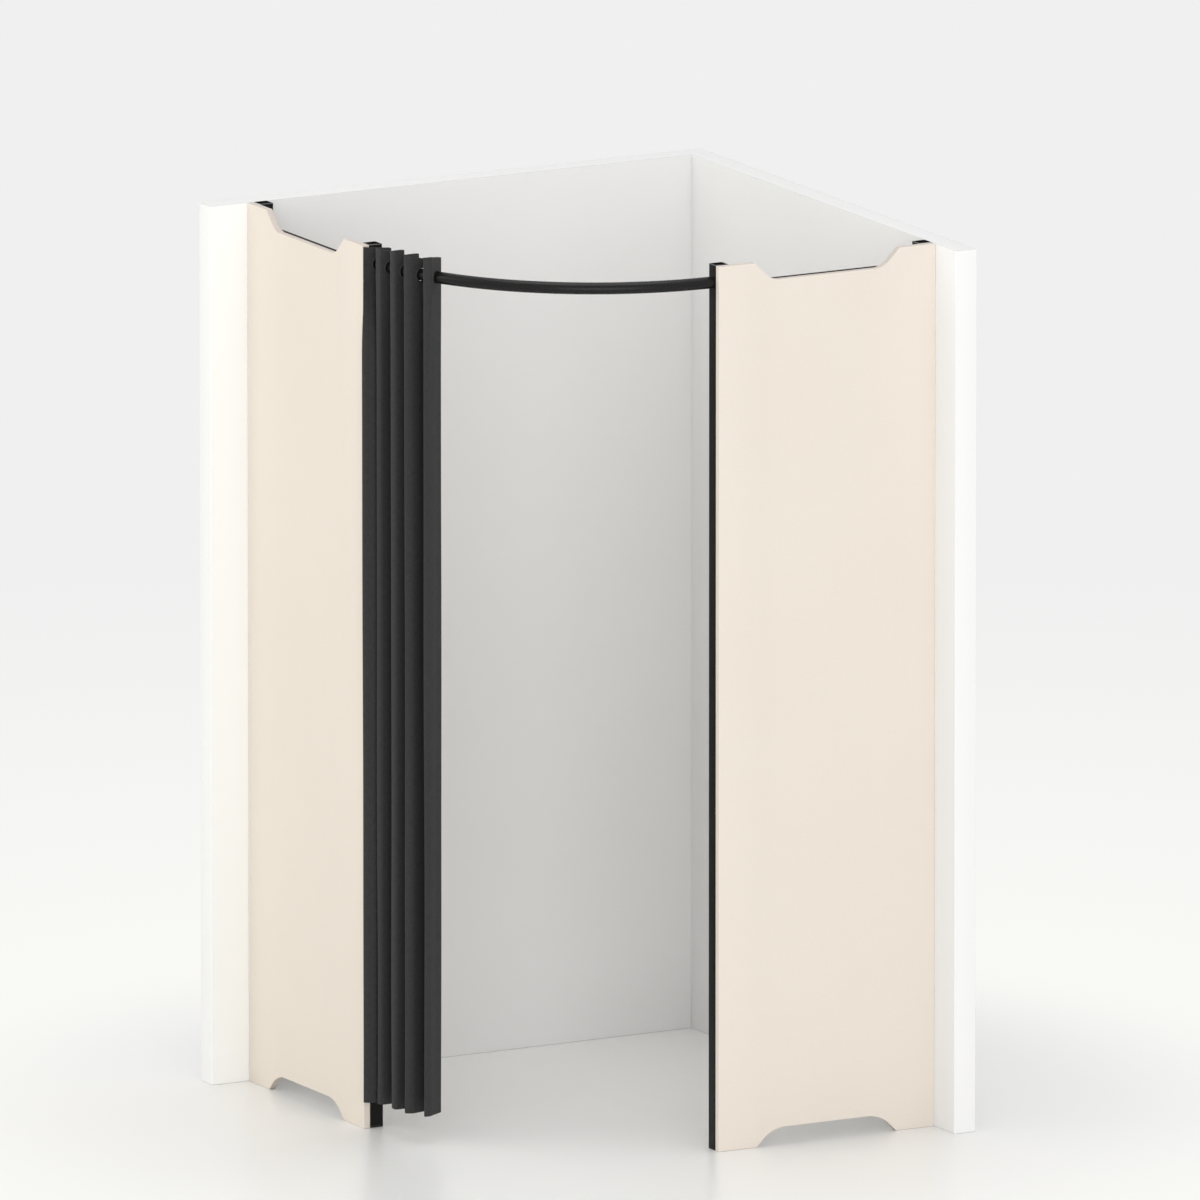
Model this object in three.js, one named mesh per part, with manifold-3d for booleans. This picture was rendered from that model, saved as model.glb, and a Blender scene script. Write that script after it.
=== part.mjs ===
// A portable corner fitting room: two notched boards on black square-tube frames, a quarter-circle
// curtain rail between them, a gathered eyelet curtain and two white walls behind.
// Millimetres, +Z up. X runs along the rear wall and Y along the side wall.
import * as THREE from "three";
import { mergeVertices } from "three/addons/utils/BufferGeometryUtils.js";
import Module from "manifold-3d";

const wasm = await Module();
wasm.setup();

// Room
const roomHeight = 2100;
const wallThickness = 56;
const wallOverhang = 97;
const wallChamfer = 1.5;

// Boards and their notches
const boardWidth = 572;
const boardThickness = 16;
const boardChamfer = 1;
const topNotchDepth = 44;
const footNotchDepth = 42;
const topLand = 95;
const footLand = 101;
const topNotchRadius = 45;
const footNotchRadius = 75;
const notchSlope = THREE.MathUtils.degToRad(45);

// Square-tube posts with their sunk caps and feet, and the flat bars between them
const tubeSize = 35;
const tubeWall = 2.5;
const tubeCorner = 3.5;
const capThickness = 3;
const capRecess = 4;
const footThickness = 5;
const insertDepth = 22;
const insertWall = 2.5;
const barHeight = 40;
const barThickness = 6;

// Curtain rail
const railRadius = 575;
const railDiameter = 28;
const railWall = 1.5;
const railDrop = 42;
const railPlugLength = 20;

// Curtain
const clothThickness = 2;
const curtainFloorGap = 68;
const headerHeight = 46;
const headerTiltShare = 0.16;
const sheetPlaces = [15, 36, 69, 92, 124, 148, 178, 203, 221];
const foldDepth = 36;
const outerDepthShares = [1.1, 0.75, 0.8, 1.05, 0.96];
const innerDepthShare = 0.7;
const outerLeanShares = [0, 0.8, 0.75, 0.38, 0.72];
const innerLeanShares = [0.33, 0.39, 0.38, 0.4, 0];
const foldRoundnessShare = 0.5;
const sheetSlant = THREE.MathUtils.degToRad(12);
const sheetSlantShares = [-0.5, 1, -1, 1, -1, 1, -1, 1, 1.25];

// Eyelet rings, clamped on both faces of the cloth
const eyeletClearance = 3;
const eyeletBarrel = 1.5;
const eyeletFlangeWidth = 3.5;
const eyeletFlangeThickness = 1.2;

// Fasteners
const railBolt = { shank: 4, head: 7, headHeight: 4.5, grip: 14 };
const postBolt = { shank: 4, head: 7, headHeight: 4.5, grip: 38 };
const wallBolt = { shank: 5, head: 9, headHeight: 6, grip: 48 };
const boardScrew = { shank: 2.5, head: 5, headHeight: 2.5, grip: 11 };
const counterboreClearance = 1.5;
const postBoltInset = 300;
const wallBoltInset = 200;
const screwSpacing = 300;

// Clearance between pieces that touch, and how far a cutter runs past what it cuts
const gap = 0.3;
const overrun = 1;

// How finely curved faces are divided
const boltSides = 12;
const railSides = 20;
const railSteps = 30;
const plugSteps = 2;
const eyeletSides = 22;
const cornerSteps = 3;
const notchSteps = 8;
const foldSteps = 6;

// Places worked out from the sizes above
const railInset = boardThickness + gap + tubeSize / 2;
const doorEdge = gap + boardWidth;
const boardFace = doorEdge + railRadius + railInset;
const wallLength = boardFace + wallOverhang;
const railHeight = roomHeight - railDrop;
const topBarBottom = roomHeight - topNotchDepth - barHeight;
const footBarBottom = footNotchDepth;
const eyeletBore = railDiameter / 2 + eyeletClearance;
const eyeletSeat = eyeletBore + eyeletBarrel;
const eyeletRim = eyeletSeat + eyeletFlangeWidth;
const eyeletHeight = railHeight - eyeletClearance + 2 * gap;
const sheetAngles = sheetPlaces.map((place) => place / railRadius);
const lastSheet = sheetPlaces.length - 1;
const postLine = railInset - boardFace;
const postBoltHeights = [postBoltInset, roomHeight - postBoltInset];
const wallBoltHeights = [wallBoltInset, roomHeight / 2, roomHeight - wallBoltInset];
const wallBoltX = wallThickness / 2;
const wallBoltRecess = wallBolt.headHeight + gap + counterboreClearance;

const finishes = {
  board: new THREE.MeshStandardMaterial({ color: 0xefe5d9, roughness: 0.55, metalness: 0 }),
  wall: new THREE.MeshStandardMaterial({ color: 0xf6f6f4, roughness: 0.7, metalness: 0 }),
  frame: new THREE.MeshStandardMaterial({ color: 0x1c1c1d, roughness: 0.5, metalness: 0.3 }),
  rail: new THREE.MeshStandardMaterial({ color: 0x141415, roughness: 0.3, metalness: 0.4 }),
  plastic: new THREE.MeshStandardMaterial({ color: 0x050505, roughness: 0.6, metalness: 0 }),
  steel: new THREE.MeshStandardMaterial({ color: 0x2c2c2e, roughness: 0.4, metalness: 0.8 }),
  cloth: new THREE.MeshStandardMaterial({ color: 0x39393a, roughness: 0.95, metalness: 0 }),
};

// A geometry as a solid that can be cut
function solidOf(geometry) {
  const bare = new THREE.BufferGeometry();
  bare.setAttribute("position", geometry.getAttribute("position"));
  bare.setIndex(geometry.getIndex());
  const merged = mergeVertices(bare);
  const vertProperties = merged.getAttribute("position").array;
  const triVerts = new Uint32Array(merged.getIndex().array);
  return new wasm.Manifold(new wasm.Mesh({ numProp: 3, vertProperties, triVerts }));
}

// A solid as a geometry again
function meshOf(solid) {
  const mesh = solid.getMesh();
  const result = new THREE.BufferGeometry();
  result.setAttribute("position", new THREE.BufferAttribute(mesh.vertProperties, mesh.numProp));
  result.setIndex(new THREE.BufferAttribute(mesh.triVerts, 1));
  result.computeVertexNormals();
  return result;
}

// The first geometry with all the cutters taken out of it
function cut(geometry, cutters) {
  const start = solidOf(geometry);
  return meshOf(cutters.reduce((solid, cutter) => solid.subtract(solidOf(cutter)), start));
}

// A round cutter that starts at a point and runs along a direction
function drill(radius, start, direction, length, sides = boltSides) {
  const geometry = new THREE.CylinderGeometry(radius, radius, length, sides);
  const turn = new THREE.Quaternion().setFromUnitVectors(new THREE.Vector3(0, 1, 0), direction);
  geometry.applyQuaternion(turn);
  const middle = start.clone().addScaledVector(direction, length / 2);
  return geometry.translate(middle.x, middle.y, middle.z);
}

// A box given by its lowest and highest corners
function block(low, high) {
  const size = high.clone().sub(low);
  const middle = low.clone().add(high).divideScalar(2);
  return new THREE.BoxGeometry(size.x, size.y, size.z).translate(middle.x, middle.y, middle.z);
}

// A square with rounded corners, centred on zero
function roundedSquare(size, radius) {
  const reach = size / 2 - radius;
  const points = [];
  for (let corner = 0; corner < 4; corner++) {
    const start = (corner * Math.PI) / 2;
    const x = corner === 0 || corner === 3 ? reach : -reach;
    const y = corner < 2 ? reach : -reach;
    for (let i = 0; i <= cornerSteps; i++) {
      const angle = start + (i * Math.PI) / 2 / cornerSteps;
      points.push(new THREE.Vector2(x + radius * Math.cos(angle), y + radius * Math.sin(angle)));
    }
  }
  return points;
}

// A shape given by points, extruded upwards from a height
function prism(points, bottom, top, hole) {
  const shape = new THREE.Shape(points);
  if (hole) {
    shape.holes.push(new THREE.Path(hole));
  }
  const geometry = new THREE.ExtrudeGeometry(shape, { depth: top - bottom, bevelEnabled: false });
  return geometry.translate(0, 0, bottom);
}

// A bolt or screw whose head lies just above Y = 0 and whose shank runs down -Y
function fastener(size, shankLength) {
  const { shank, head, headHeight } = size;
  const points = [
    [0, -shankLength],
    [shank, -shankLength],
    [shank, gap],
    [head, gap],
    [head, gap + headHeight / 2],
    [head - headHeight / 2, gap + headHeight],
    [0, gap + headHeight],
  ];
  return new THREE.LatheGeometry(
    points.map(([x, y]) => new THREE.Vector2(x, y)),
    boltSides,
  );
}

function addPiece(parent, name, geometry, material) {
  const mesh = new THREE.Mesh(geometry, material);
  mesh.name = name;
  parent.add(mesh);
  return mesh;
}

// A fastener seated at a point, with its shank along a direction
function addFastener(parent, name, size, shankLength, seat, direction) {
  const mesh = addPiece(parent, name, fastener(size, shankLength), finishes.steel);
  mesh.position.copy(seat);
  mesh.quaternion.setFromUnitVectors(new THREE.Vector3(0, -1, 0), direction);
}

// Half of a notch as seen from the board's middle: along the flat, round the corner, out to the land
function notchSide(land, radius, depth) {
  const run = depth / Math.tan(notchSlope);
  const reach = boardWidth / 2 - land;
  const turnStart = reach - run - radius * Math.tan(notchSlope / 2);
  const points = [];
  for (let i = 0; i <= notchSteps; i++) {
    const turn = (notchSlope * i) / notchSteps;
    const x = turnStart + radius * Math.sin(turn);
    const y = depth - radius * (1 - Math.cos(turn));
    points.push(new THREE.Vector2(x, y));
  }
  points.push(new THREE.Vector2(reach, 0));
  return points;
}

// The board's outline, with one notch in its top edge and one between its two feet
function boardOutline() {
  const foot = notchSide(footLand, footNotchRadius, footNotchDepth);
  const top = notchSide(topLand, topNotchRadius, topNotchDepth);
  const side = boardWidth / 2;
  const right = [
    ...foot,
    new THREE.Vector2(side, 0),
    new THREE.Vector2(side, roomHeight),
    ...top.reverse().map((p) => new THREE.Vector2(p.x, roomHeight - p.y)),
  ];
  const left = right.map((p) => new THREE.Vector2(-p.x, p.y)).reverse();
  return [...right, ...left];
}

// Where the screws go through the two bars into the board
function screwPlaces() {
  const places = [];
  for (const z of [footBarBottom + barHeight / 2, topBarBottom + barHeight / 2]) {
    for (const side of [-1, 1]) {
      places.push(new THREE.Vector3((side * screwSpacing) / 2, 0, z));
    }
  }
  return places;
}

function boardGeometry() {
  const shape = new THREE.Shape(boardOutline());
  const geometry = new THREE.ExtrudeGeometry(shape, {
    depth: boardThickness - 2 * boardChamfer,
    bevelThickness: boardChamfer,
    bevelSize: boardChamfer,
    bevelOffset: -boardChamfer,
    bevelSegments: 1,
  });
  geometry.translate(0, 0, boardChamfer - boardThickness);
  geometry.rotateX(Math.PI / 2);
  const inward = new THREE.Vector3(0, -1, 0);
  const holes = screwPlaces().map((place) => {
    const start = place.clone().setY(boardThickness + overrun);
    return drill(boardScrew.shank + gap, start, inward, boardScrew.grip + overrun + gap);
  });
  return cut(geometry, holes);
}

// A flat bar behind the board, drilled for its screws
function barGeometry(bottom) {
  const reach = boardWidth / 2 - tubeSize - gap;
  const face = boardThickness + gap;
  const low = new THREE.Vector3(-reach, face, bottom);
  const high = new THREE.Vector3(reach, face + barThickness, bottom + barHeight);
  const inward = new THREE.Vector3(0, 1, 0);
  const length = barThickness + 2 * overrun;
  const holes = [-1, 1].map((side) => {
    const start = low.clone().setX((side * screwSpacing) / 2);
    start.y -= overrun;
    start.z += barHeight / 2;
    return drill(boardScrew.shank + gap, start, inward, length);
  });
  return cut(block(low, high), holes);
}

// A square tube that stands on its foot, with cross holes for its bolts
function postGeometry(holes) {
  const outline = roundedSquare(tubeSize, tubeCorner);
  const bore = roundedSquare(tubeSize - 2 * tubeWall, tubeCorner - tubeWall);
  const tube = prism(outline, footThickness + gap, roomHeight, bore);
  const length = tubeSize + 2 * overrun;
  const cutters = holes.map(({ radius, z, direction }) => {
    const start = direction.clone().multiplyScalar(-length / 2).setZ(z);
    return drill(radius, start, direction, length);
  });
  return cut(tube, cutters);
}

// The outline that fits a tube's bore
function plugOutline() {
  return roundedSquare(tubeSize - 2 * tubeWall - 2 * gap, tubeCorner - tubeWall);
}

// What hollows a plug out above its closed end
function plugHollow(closedEnd) {
  const size = tubeSize - 2 * (tubeWall + gap + insertWall);
  const outline = roundedSquare(size, tubeCorner - tubeWall);
  return prism(outline, closedEnd, closedEnd + insertDepth + overrun);
}

// A cap that sits wholly inside the tube's end, with its closed end at Z = 0
function capGeometry() {
  return cut(prism(plugOutline(), 0, capThickness + insertDepth), [plugHollow(capThickness)]);
}

// A foot plate under the tube with a hollow insert that grips the bore
function footGeometry() {
  const plate = solidOf(prism(roundedSquare(tubeSize, tubeCorner), 0, footThickness));
  const insert = solidOf(prism(plugOutline(), footThickness - overrun, footThickness + insertDepth));
  return meshOf(plate.add(insert).subtract(solidOf(plugHollow(footThickness))));
}

// A square tube on its foot, with a cap sunk in its top
function addStand(parent, name, x, y, holes) {
  const stand = new THREE.Group();
  stand.position.set(x, y, 0);
  parent.add(stand);
  addPiece(stand, name, postGeometry(holes), finishes.frame);
  addPiece(stand, name + "_foot", footGeometry(), finishes.plastic);
  const cap = addPiece(stand, name + "_cap", capGeometry(), finishes.plastic);
  cap.position.z = roomHeight - capRecess;
  cap.rotation.x = Math.PI;
}

// The screws that hold the board, from behind, to the two bars
function addBoardScrews(panel, name) {
  const outward = new THREE.Vector3(0, -1, 0);
  const length = barThickness + gap + boardScrew.grip;
  screwPlaces().forEach((place, i) => {
    const seat = place.setY(boardThickness + gap + barThickness);
    addFastener(panel, `${name}_board_screw_${i + 1}`, boardScrew, length, seat, outward);
  });
}

// One side of the room in its own frame: X along the board, +Y inwards, the outer face at Y = 0.
// doorSide is -1 or 1, the end of X at which the doorway and the rail are.
function sidePanel(name, doorSide) {
  const panel = new THREE.Group();
  const postY = boardThickness + gap + tubeSize / 2;
  const postX = (boardWidth - tubeSize) / 2;
  const innerX = boardWidth / 2 - tubeSize;
  const towardsWall = new THREE.Vector3(-doorSide, 0, 0);
  const towardsDoor = new THREE.Vector3(doorSide, 0, 0);

  addPiece(panel, name + "_board", boardGeometry(), finishes.board);
  addPiece(panel, name + "_top_bar", barGeometry(topBarBottom), finishes.frame);
  addPiece(panel, name + "_bottom_bar", barGeometry(footBarBottom), finishes.frame);

  const wallHoles = postBoltHeights.map((z) => {
    return { radius: postBolt.shank + gap, z, direction: towardsWall };
  });
  const doorHoles = [{ radius: railBolt.shank + gap, z: railHeight, direction: towardsDoor }];
  addStand(panel, name + "_wall_post", -doorSide * postX, postY, wallHoles);
  addStand(panel, name + "_door_post", doorSide * postX, postY, doorHoles);

  const postBoltLength = tubeSize + gap + postBolt.grip;
  postBoltHeights.forEach((z, i) => {
    const seat = new THREE.Vector3(-doorSide * innerX, postY, z);
    addFastener(panel, `${name}_wall_bolt_${i + 1}`, postBolt, postBoltLength, seat, towardsWall);
  });
  const railBoltLength = tubeSize + railBolt.grip;
  const railSeat = new THREE.Vector3(doorSide * innerX, postY, railHeight);
  addFastener(panel, name + "_rail_bolt", railBolt, railBoltLength, railSeat, towardsDoor);
  addBoardScrews(panel, name);
  return panel;
}

// A stretch of the rail's quarter circle, from one angle to another, about the rail's centre
class RailArc extends THREE.Curve {
  constructor(from, to) {
    super();
    this.from = from;
    this.to = to;
  }
  getPoint(t, target = new THREE.Vector3()) {
    const angle = THREE.MathUtils.lerp(this.from, this.to, t);
    return target.set(railRadius * Math.cos(angle), railRadius * Math.sin(angle), 0);
  }
}

// Points evenly round a circle
function circle(radius, sides) {
  const points = [];
  for (let i = 0; i < sides; i++) {
    const angle = (i * Math.PI * 2) / sides;
    points.push(new THREE.Vector2(radius * Math.cos(angle), radius * Math.sin(angle)));
  }
  return points;
}

// A bent tube on the rail's line
function bentTube(from, to, radius, bore, boreSides, steps) {
  const shape = new THREE.Shape(circle(radius, railSides));
  shape.holes.push(new THREE.Path(circle(bore, boreSides)));
  const extrudePath = new RailArc(from, to);
  return new THREE.ExtrudeGeometry(shape, { steps, extrudePath, bevelEnabled: false });
}

// The curtain rail and the plugs in its two ends that the rail bolts screw into
function addRail(parent) {
  const inset = gap / railRadius;
  const plugTurn = railPlugLength / railRadius;
  const endAngle = Math.PI / 2 - inset;
  const boreRadius = railDiameter / 2 - railWall;
  const plugBore = railBolt.shank + 2 * gap;
  const rail = bentTube(inset, endAngle, railDiameter / 2, boreRadius, railSides, railSteps);
  addPiece(parent, "curtain_rail", rail, finishes.rail);
  const ends = { left: [inset, inset + plugTurn], front: [endAngle - plugTurn, endAngle] };
  for (const [name, [from, to]] of Object.entries(ends)) {
    const plug = bentTube(from, to, boreRadius - gap, plugBore, boltSides, plugSteps);
    addPiece(parent, `${name}_rail_plug`, plug, finishes.plastic);
  }
}

// The curve of a fold, from the end of a sheet's flat part to the fold's crest on one side of it
function foldCurve(start, heading, crestRadius, crestAngle) {
  const outward = new THREE.Vector2(Math.cos(crestAngle), Math.sin(crestAngle));
  const crest = outward.clone().multiplyScalar(crestRadius);
  const side = Math.sign(crestAngle);
  const across = new THREE.Vector2(-outward.y * side, outward.x * side);
  const reach = crest.clone().sub(start);
  const depth = Math.abs(reach.dot(heading));
  const width = Math.abs(reach.dot(across));
  const leave = start.clone().addScaledVector(heading, depth * foldRoundnessShare);
  const arrive = crest.clone().addScaledVector(across, -width * foldRoundnessShare);
  return new THREE.CubicBezierCurve(start, leave, arrive, crest);
}

// The angle from a sheet's eyelet to the crest of the fold before or after it. The lean is how far
// the crest stands from the earlier eyelet towards the later one.
function crestAngle(index, leanShare, before) {
  const halfGap = gap / 2 / railRadius;
  const earlier = before ? index - 1 : index;
  const crest = THREE.MathUtils.lerp(sheetAngles[earlier], sheetAngles[earlier + 1], leanShare);
  return crest - sheetAngles[index] + (before ? halfGap : -halfGap);
}

// The middle line of one sheet of the curtain seen from above, from its outer end to its inner end,
// as points with their directions. The rail's centre is at zero and the eyelet is on the X axis.
function sheetLine(index) {
  const outerFold = Math.ceil(index / 2);
  const innerFold = Math.floor(index / 2);
  const outerDepth = foldDepth * outerDepthShares[outerFold];
  const innerDepth = foldDepth * innerDepthShare;
  const slant = eyeletTurn(index);
  const along = new THREE.Vector2(Math.cos(slant), Math.sin(slant));
  const eyelet = new THREE.Vector2(railRadius, 0);
  const flat = eyeletRim + gap;
  const even = index % 2 === 0;
  const outerCrest = crestAngle(index, outerLeanShares[outerFold], even);
  const innerCrest = crestAngle(index, innerLeanShares[innerFold], !even);
  const points = [];
  const addPoint = (at, heading) => points.push({ at, heading });
  const inward = along.clone().negate();
  if (index === 0) {
    addPoint(eyelet.clone().addScaledVector(along, outerDepth), inward);
  } else {
    const start = eyelet.clone().addScaledVector(along, flat);
    const fold = foldCurve(start, along, railRadius + outerDepth, outerCrest);
    for (let i = foldSteps; i > 0; i--) {
      addPoint(fold.getPoint(i / foldSteps), fold.getTangent(i / foldSteps).negate());
    }
  }
  addPoint(eyelet.clone().addScaledVector(along, flat), inward);
  addPoint(eyelet.clone().addScaledVector(along, -flat), inward);
  if (index === lastSheet) {
    addPoint(eyelet.clone().addScaledVector(along, -innerDepth), inward);
  } else {
    const start = eyelet.clone().addScaledVector(along, -flat);
    const fold = foldCurve(start, inward, railRadius - innerDepth, innerCrest);
    for (let i = 1; i <= foldSteps; i++) {
      addPoint(fold.getPoint(i / foldSteps), fold.getTangent(i / foldSteps));
    }
  }
  return points;
}

// One sheet of cloth between two fold crests, with its eyelet hole. Its top edge dips inwards.
function sheetGeometry(index) {
  const line = sheetLine(index);
  const offset = (sign) =>
    line.map(({ at, heading }) => {
      const normal = new THREE.Vector2(-heading.y, heading.x);
      return at.clone().addScaledVector(normal, (sign * clothThickness) / 2);
    });
  const top = railHeight + headerHeight;
  const geometry = prism([...offset(1), ...offset(-1).reverse()], curtainFloorGap, top);
  const position = geometry.getAttribute("position");
  for (let i = 0; i < position.count; i++) {
    if (position.getZ(i) > railHeight) {
      const outward = Math.hypot(position.getX(i), position.getY(i)) - railRadius;
      position.setZ(i, top + outward * headerTiltShare);
    }
  }
  const turn = eyeletTurn(index);
  const axis = new THREE.Vector3(-Math.sin(turn), Math.cos(turn), 0);
  const start = new THREE.Vector3(railRadius, 0, eyeletHeight);
  start.addScaledVector(axis, -eyeletRim / 2);
  return cut(geometry, [drill(eyeletSeat + gap, start, axis, eyeletRim, eyeletSides)]);
}

function eyeletTurn(index) {
  return sheetSlant * sheetSlantShares[index];
}

// A ring with a flange on each face of the cloth
function eyeletGeometry() {
  const inner = clothThickness / 2 + gap;
  const outer = inner + eyeletFlangeThickness;
  const points = [
    [eyeletBore, -outer],
    [eyeletRim, -outer],
    [eyeletRim, -inner],
    [eyeletSeat, -inner],
    [eyeletSeat, inner],
    [eyeletRim, inner],
    [eyeletRim, outer],
    [eyeletBore, outer],
    [eyeletBore, -outer],
  ];
  return new THREE.LatheGeometry(
    points.map(([x, y]) => new THREE.Vector2(x, y)),
    eyeletSides,
  );
}

// The gathered curtain: sheets that zigzag across the rail, each on its own eyelet
function addCurtain(parent) {
  sheetAngles.forEach((angle, index) => {
    const carrier = new THREE.Group();
    carrier.rotation.z = angle;
    parent.add(carrier);
    addPiece(carrier, `curtain_sheet_${index + 1}`, sheetGeometry(index), finishes.cloth);
    const eyelet = addPiece(carrier, `curtain_eyelet_${index + 1}`, eyeletGeometry(), finishes.steel);
    eyelet.position.set(railRadius, 0, eyeletHeight);
    eyelet.rotation.z = eyeletTurn(index);
  });
}

// A wall slab with chamfered edges, from one corner of its plan to the other
function wallSlab(low, high) {
  const shape = new THREE.Shape([
    new THREE.Vector2(low.x, low.y),
    new THREE.Vector2(high.x, low.y),
    new THREE.Vector2(high.x, high.y),
    new THREE.Vector2(low.x, high.y),
  ]);
  const geometry = new THREE.ExtrudeGeometry(shape, {
    depth: roomHeight - 2 * wallChamfer,
    bevelThickness: wallChamfer,
    bevelSize: wallChamfer,
    bevelOffset: -wallChamfer,
    bevelSegments: 1,
  });
  return geometry.translate(0, 0, wallChamfer);
}

// Blind holes in a wall for the bolts of the post beside it
function postBoltHoles(x, y, direction) {
  const length = postBolt.grip + overrun + 2 * gap;
  return postBoltHeights.map((z) => {
    const start = new THREE.Vector3(x, y, z).addScaledVector(direction, -overrun);
    return drill(postBolt.shank + gap, start, direction, length);
  });
}

// The counterbored holes through the rear wall for the corner bolts
function cornerBoltHoles() {
  const forward = new THREE.Vector3(0, -1, 0);
  const bore = wallBolt.shank + gap;
  const counterbore = wallBolt.head + counterboreClearance;
  return wallBoltHeights.flatMap((z) => {
    const start = new THREE.Vector3(wallBoltX, wallThickness + overrun, z);
    return [
      drill(bore, start, forward, wallThickness + 2 * overrun),
      drill(counterbore, start, forward, wallBoltRecess + overrun),
    ];
  });
}

// The blind holes in the side wall's end that the corner bolts screw into
function cornerEndHoles() {
  const forward = new THREE.Vector3(0, -1, 0);
  return wallBoltHeights.map((z) => {
    const start = new THREE.Vector3(wallBoltX, 0, z);
    return drill(wallBolt.shank + gap, start, forward, wallBolt.grip + 2 * gap);
  });
}

// The rear wall, which laps the end of the side wall
function rearWallGeometry() {
  const low = new THREE.Vector2(-wallLength, 0);
  const high = new THREE.Vector2(wallThickness, wallThickness);
  const inwards = new THREE.Vector3(0, 1, 0);
  const holes = [...cornerBoltHoles(), ...postBoltHoles(postLine, 0, inwards)];
  return cut(wallSlab(low, high), holes);
}

function sideWallGeometry() {
  const low = new THREE.Vector2(0, -wallLength);
  const high = new THREE.Vector2(wallThickness, -gap);
  const inwards = new THREE.Vector3(1, 0, 0);
  const holes = [...cornerEndHoles(), ...postBoltHoles(0, postLine, inwards)];
  return cut(wallSlab(low, high), holes);
}

// The two walls and the bolts that hold them together at the corner
function addWalls(parent) {
  const forward = new THREE.Vector3(0, -1, 0);
  const seatY = wallThickness - wallBoltRecess;
  addPiece(parent, "rear_wall", rearWallGeometry(), finishes.wall);
  addPiece(parent, "side_wall", sideWallGeometry(), finishes.wall);
  wallBoltHeights.forEach((z, i) => {
    const seat = new THREE.Vector3(wallBoltX, seatY, z);
    addFastener(parent, `wall_bolt_${i + 1}`, wallBolt, seatY + wallBolt.grip, seat, forward);
  });
}

// The whole room, moved so that zero is under the middle of its footprint
function fittingRoom() {
  const room = new THREE.Group();
  const shift = (wallLength - wallThickness) / 2;
  room.position.set(shift, shift, 0);
  addWalls(room);

  const panelMiddle = -gap - boardWidth / 2;
  const front = sidePanel("front", -1);
  front.position.set(panelMiddle, -boardFace, 0);
  room.add(front);

  const left = sidePanel("left", 1);
  left.position.set(-boardFace, panelMiddle, 0);
  left.rotation.z = -Math.PI / 2;
  room.add(left);

  const railGroup = new THREE.Group();
  railGroup.position.set(-doorEdge, -doorEdge, railHeight);
  railGroup.rotation.z = Math.PI;
  room.add(railGroup);
  addRail(railGroup);

  const curtain = new THREE.Group();
  curtain.position.set(-doorEdge, -doorEdge, 0);
  curtain.rotation.z = Math.PI;
  room.add(curtain);
  addCurtain(curtain);
  return room;
}

export default fittingRoom();
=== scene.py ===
import math

import bmesh
import bpy
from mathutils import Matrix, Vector
from mathutils.geometry import interpolate_bezier


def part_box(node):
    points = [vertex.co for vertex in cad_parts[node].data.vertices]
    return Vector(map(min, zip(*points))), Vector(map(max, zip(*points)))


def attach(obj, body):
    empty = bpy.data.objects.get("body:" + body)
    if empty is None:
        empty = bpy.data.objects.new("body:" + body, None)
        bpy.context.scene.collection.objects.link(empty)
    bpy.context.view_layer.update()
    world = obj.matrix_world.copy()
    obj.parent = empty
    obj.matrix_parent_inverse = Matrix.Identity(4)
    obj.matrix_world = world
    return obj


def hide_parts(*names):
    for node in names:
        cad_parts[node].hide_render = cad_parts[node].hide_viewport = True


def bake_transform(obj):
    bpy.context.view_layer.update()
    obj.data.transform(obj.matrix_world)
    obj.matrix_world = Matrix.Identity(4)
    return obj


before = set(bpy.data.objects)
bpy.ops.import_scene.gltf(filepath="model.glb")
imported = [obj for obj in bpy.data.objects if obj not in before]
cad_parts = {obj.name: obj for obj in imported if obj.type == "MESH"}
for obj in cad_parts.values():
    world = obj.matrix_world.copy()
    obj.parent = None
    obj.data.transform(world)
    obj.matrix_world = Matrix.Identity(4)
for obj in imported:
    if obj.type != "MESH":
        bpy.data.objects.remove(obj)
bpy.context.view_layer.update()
mm = 0.001
degree = math.pi / 180

# places that everything is set out from, read from the frame
roomHeight = 2100 * mm
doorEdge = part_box("front_board")[0].x  # where the boards end at the doorway
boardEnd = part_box("front_board")[1].x  # where they end at the walls
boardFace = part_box("front_board")[0].y  # their outer faces
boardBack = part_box("front_board")[1].y
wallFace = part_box("rear_wall")[0].y  # the walls' inner faces
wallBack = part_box("rear_wall")[1].y
wallThickness = wallBack - wallFace
railRadius = 575 * mm
railHeight = 2058 * mm
gap = 0.3 * mm
up = Vector((0, 0, 1))


# the room is the same on both sides of its diagonal, so the left side swaps X and Y
def place(side, along, across, z=0.0):
    return Vector((along, across, z)) if side == "front" else Vector((across, along, z))


# working tools


def pick(item):
    bpy.ops.object.select_all(action="DESELECT")
    item.select_set(True)
    bpy.context.view_layer.objects.active = item


def settle(name):
    item = bpy.context.object
    item.name = name
    item.data.name = name
    bpy.ops.object.transform_apply(location=True, rotation=True, scale=True)
    return item


def addBlock(name, low, high):
    bpy.ops.object.select_all(action="DESELECT")
    middle = (low + high) / 2
    bpy.ops.mesh.primitive_cube_add(size=1, location=middle, scale=high - low)
    return settle(name)


def addRod(name, start, direction, length, radius, sides=32):
    bpy.ops.object.select_all(action="DESELECT")
    turn = direction.to_track_quat("Z", "Y").to_euler()
    middle = start + direction * length / 2
    bpy.ops.mesh.primitive_cylinder_add(
        vertices=sides, radius=radius, depth=length, location=middle, rotation=turn
    )
    return settle(name)


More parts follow.
